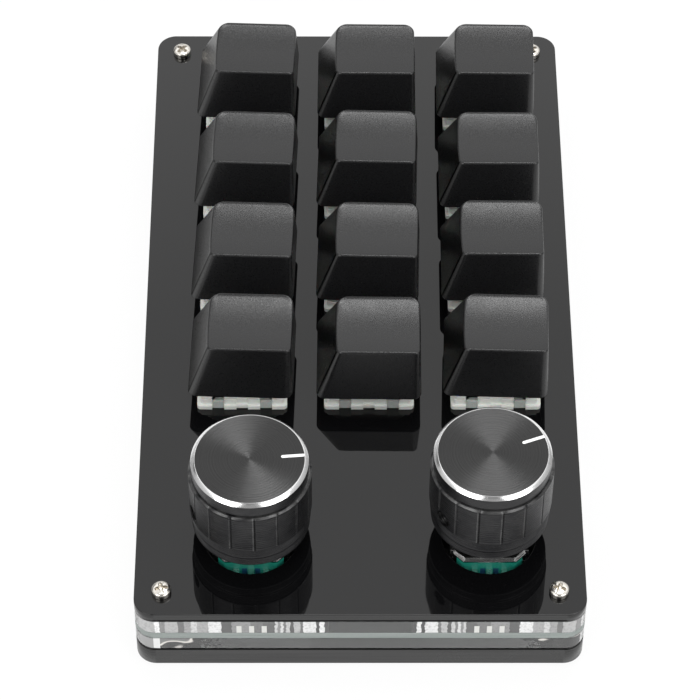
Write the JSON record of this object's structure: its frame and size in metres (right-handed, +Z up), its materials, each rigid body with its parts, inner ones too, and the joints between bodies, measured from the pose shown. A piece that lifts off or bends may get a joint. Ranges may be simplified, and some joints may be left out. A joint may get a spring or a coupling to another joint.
{
  "type": "macro keypad",
  "caption": "Desk macro keypad: rows of sloped keycaps on press switches over two push-and-turn aluminium knobs, on a bolted stack of black and clear acrylic sheets.",
  "frame": {"origin": "on the resting plane under the feet, below the middle of the case's outline", "axes": "+X to the right, +Y away from the user towards the connector edge, +Z up"},
  "size_m": [0.0754, 0.1338, 0.037],
  "materials": {
    "black_acrylic": "polished black acrylic sheet, mirror gloss",
    "black_acrylic_base": "black acrylic sheet with a laser-cut edge",
    "clear_acrylic": "clear acrylic sheet with polished laser-cut edges",
    "board_laminate": "glass-fibre board, pale cut edge",
    "component_black": "moulded package",
    "connector_shell": "plated steel",
    "screw_nickel": "nickel-plated steel",
    "foot_rubber": "matt rubber",
    "switch_white": "milky white nylon",
    "switch_milky": "milky white nylon",
    "contact_metal": "tinned copper alloy",
    "encoder_green": "green moulded resin",
    "encoder_steel": "pressed plated steel",
    "cap_plastic": "black plastic with a fine grain",
    "stem_plastic": "smooth acetal",
    "spring_steel": "spring wire",
    "rotor_plastic": "moulded resin with contact tracks",
    "shaft_metal": "turned aluminium",
    "knob_aluminium": "black anodised aluminium, turned, with a bright cut rim",
    "set_screw_steel": "blackened steel"
  },
  "bodies": {
    "root": {"top_plate": "black_acrylic", "bottom_plate": "black_acrylic_base", "upper_clear_frame": "clear_acrylic", "lower_clear_frame": "clear_acrylic", "circuit_board": "board_laminate", "board_components": "component_black", "usb_receptacle": "connector_shell", "case_screws": "screw_nickel", "case_nuts": "screw_nickel", "rubber_feet": "foot_rubber", "switch_lower_housings": "switch_white", "switch_upper_housings": "switch_milky", "switch_contacts": "contact_metal", "encoder_bases": "encoder_green", "encoder_cans": "encoder_steel", "encoder_terminals": "contact_metal", "key_spring_r1c1": "spring_steel", "key_spring_r1c2": "spring_steel", "key_spring_r1c3": "spring_steel", "key_spring_r2c1": "spring_steel", "key_spring_r2c2": "spring_steel", "key_spring_r2c3": "spring_steel", "key_spring_r3c1": "spring_steel", "key_spring_r3c2": "spring_steel", "key_spring_r3c3": "spring_steel", "key_spring_r4c1": "spring_steel", "key_spring_r4c2": "spring_steel", "key_spring_r4c3": "spring_steel"},
    "key_r1c1": {"keycap_r1c1": "cap_plastic", "key_stem_r1c1": "stem_plastic"},
    "key_r1c2": {"keycap_r1c2": "cap_plastic", "key_stem_r1c2": "stem_plastic"},
    "key_r1c3": {"keycap_r1c3": "cap_plastic", "key_stem_r1c3": "stem_plastic"},
    "key_r2c1": {"keycap_r2c1": "cap_plastic", "key_stem_r2c1": "stem_plastic"},
    "key_r2c2": {"keycap_r2c2": "cap_plastic", "key_stem_r2c2": "stem_plastic"},
    "key_r2c3": {"keycap_r2c3": "cap_plastic", "key_stem_r2c3": "stem_plastic"},
    "key_r3c1": {"keycap_r3c1": "cap_plastic", "key_stem_r3c1": "stem_plastic"},
    "key_r3c2": {"keycap_r3c2": "cap_plastic", "key_stem_r3c2": "stem_plastic"},
    "key_r3c3": {"keycap_r3c3": "cap_plastic", "key_stem_r3c3": "stem_plastic"},
    "key_r4c1": {"keycap_r4c1": "cap_plastic", "key_stem_r4c1": "stem_plastic"},
    "key_r4c2": {"keycap_r4c2": "cap_plastic", "key_stem_r4c2": "stem_plastic"},
    "key_r4c3": {"keycap_r4c3": "cap_plastic", "key_stem_r4c3": "stem_plastic"},
    "rotor_left": {"encoder_rotor_left": "rotor_plastic"},
    "knob_left": {"knob_left": "knob_aluminium", "encoder_shaft_left": "shaft_metal", "knob_set_screw_left": "set_screw_steel"},
    "rotor_right": {"encoder_rotor_right": "rotor_plastic"},
    "knob_right": {"knob_right": "knob_aluminium", "encoder_shaft_right": "shaft_metal", "knob_set_screw_right": "set_screw_steel"}
  },
  "joints": [
    {"name": "key_press_r1c1", "type": "slide", "parent": "root", "child": "key_r1c1", "axis": [0, 0, -1], "range_m": [0, 0.004], "stiffness_N_per_m": 75, "springref_m": -0.004, "deforming": ["key_spring_r1c1"]},
    {"name": "key_press_r1c2", "type": "slide", "parent": "root", "child": "key_r1c2", "axis": [0, 0, -1], "range_m": [0, 0.004], "stiffness_N_per_m": 75, "springref_m": -0.004, "deforming": ["key_spring_r1c2"]},
    {"name": "key_press_r1c3", "type": "slide", "parent": "root", "child": "key_r1c3", "axis": [0, 0, -1], "range_m": [0, 0.004], "stiffness_N_per_m": 75, "springref_m": -0.004, "deforming": ["key_spring_r1c3"]},
    {"name": "key_press_r2c1", "type": "slide", "parent": "root", "child": "key_r2c1", "axis": [0, 0, -1], "range_m": [0, 0.004], "stiffness_N_per_m": 75, "springref_m": -0.004, "deforming": ["key_spring_r2c1"]},
    {"name": "key_press_r2c2", "type": "slide", "parent": "root", "child": "key_r2c2", "axis": [0, 0, -1], "range_m": [0, 0.004], "stiffness_N_per_m": 75, "springref_m": -0.004, "deforming": ["key_spring_r2c2"]},
    {"name": "key_press_r2c3", "type": "slide", "parent": "root", "child": "key_r2c3", "axis": [0, 0, -1], "range_m": [0, 0.004], "stiffness_N_per_m": 75, "springref_m": -0.004, "deforming": ["key_spring_r2c3"]},
    {"name": "key_press_r3c1", "type": "slide", "parent": "root", "child": "key_r3c1", "axis": [0, 0, -1], "range_m": [0, 0.004], "stiffness_N_per_m": 75, "springref_m": -0.004, "deforming": ["key_spring_r3c1"]},
    {"name": "key_press_r3c2", "type": "slide", "parent": "root", "child": "key_r3c2", "axis": [0, 0, -1], "range_m": [0, 0.004], "stiffness_N_per_m": 75, "springref_m": -0.004, "deforming": ["key_spring_r3c2"]},
    {"name": "key_press_r3c3", "type": "slide", "parent": "root", "child": "key_r3c3", "axis": [0, 0, -1], "range_m": [0, 0.004], "stiffness_N_per_m": 75, "springref_m": -0.004, "deforming": ["key_spring_r3c3"]},
    {"name": "key_press_r4c1", "type": "slide", "parent": "root", "child": "key_r4c1", "axis": [0, 0, -1], "range_m": [0, 0.004], "stiffness_N_per_m": 75, "springref_m": -0.004, "deforming": ["key_spring_r4c1"]},
    {"name": "key_press_r4c2", "type": "slide", "parent": "root", "child": "key_r4c2", "axis": [0, 0, -1], "range_m": [0, 0.004], "stiffness_N_per_m": 75, "springref_m": -0.004, "deforming": ["key_spring_r4c2"]},
    {"name": "key_press_r4c3", "type": "slide", "parent": "root", "child": "key_r4c3", "axis": [0, 0, -1], "range_m": [0, 0.004], "stiffness_N_per_m": 75, "springref_m": -0.004, "deforming": ["key_spring_r4c3"]},
    {"name": "knob_turn_left", "type": "hinge", "parent": "root", "child": "rotor_left", "pos_m": [-0.0183, -0.04935, 0.0155], "axis": [0, 0, 1], "continuous": true},
    {"name": "knob_push_left", "type": "slide", "parent": "rotor_left", "child": "knob_left", "axis": [0, 0, -1], "range_m": [0, 0.0005], "stiffness_N_per_m": 2000, "springref_m": -0.0008},
    {"name": "knob_turn_right", "type": "hinge", "parent": "root", "child": "rotor_right", "pos_m": [0.0217, -0.04935, 0.0155], "axis": [0, 0, 1], "continuous": true},
    {"name": "knob_push_right", "type": "slide", "parent": "rotor_right", "child": "knob_right", "axis": [0, 0, -1], "range_m": [0, 0.0005], "stiffness_N_per_m": 2000, "springref_m": -0.0008}
  ]
}
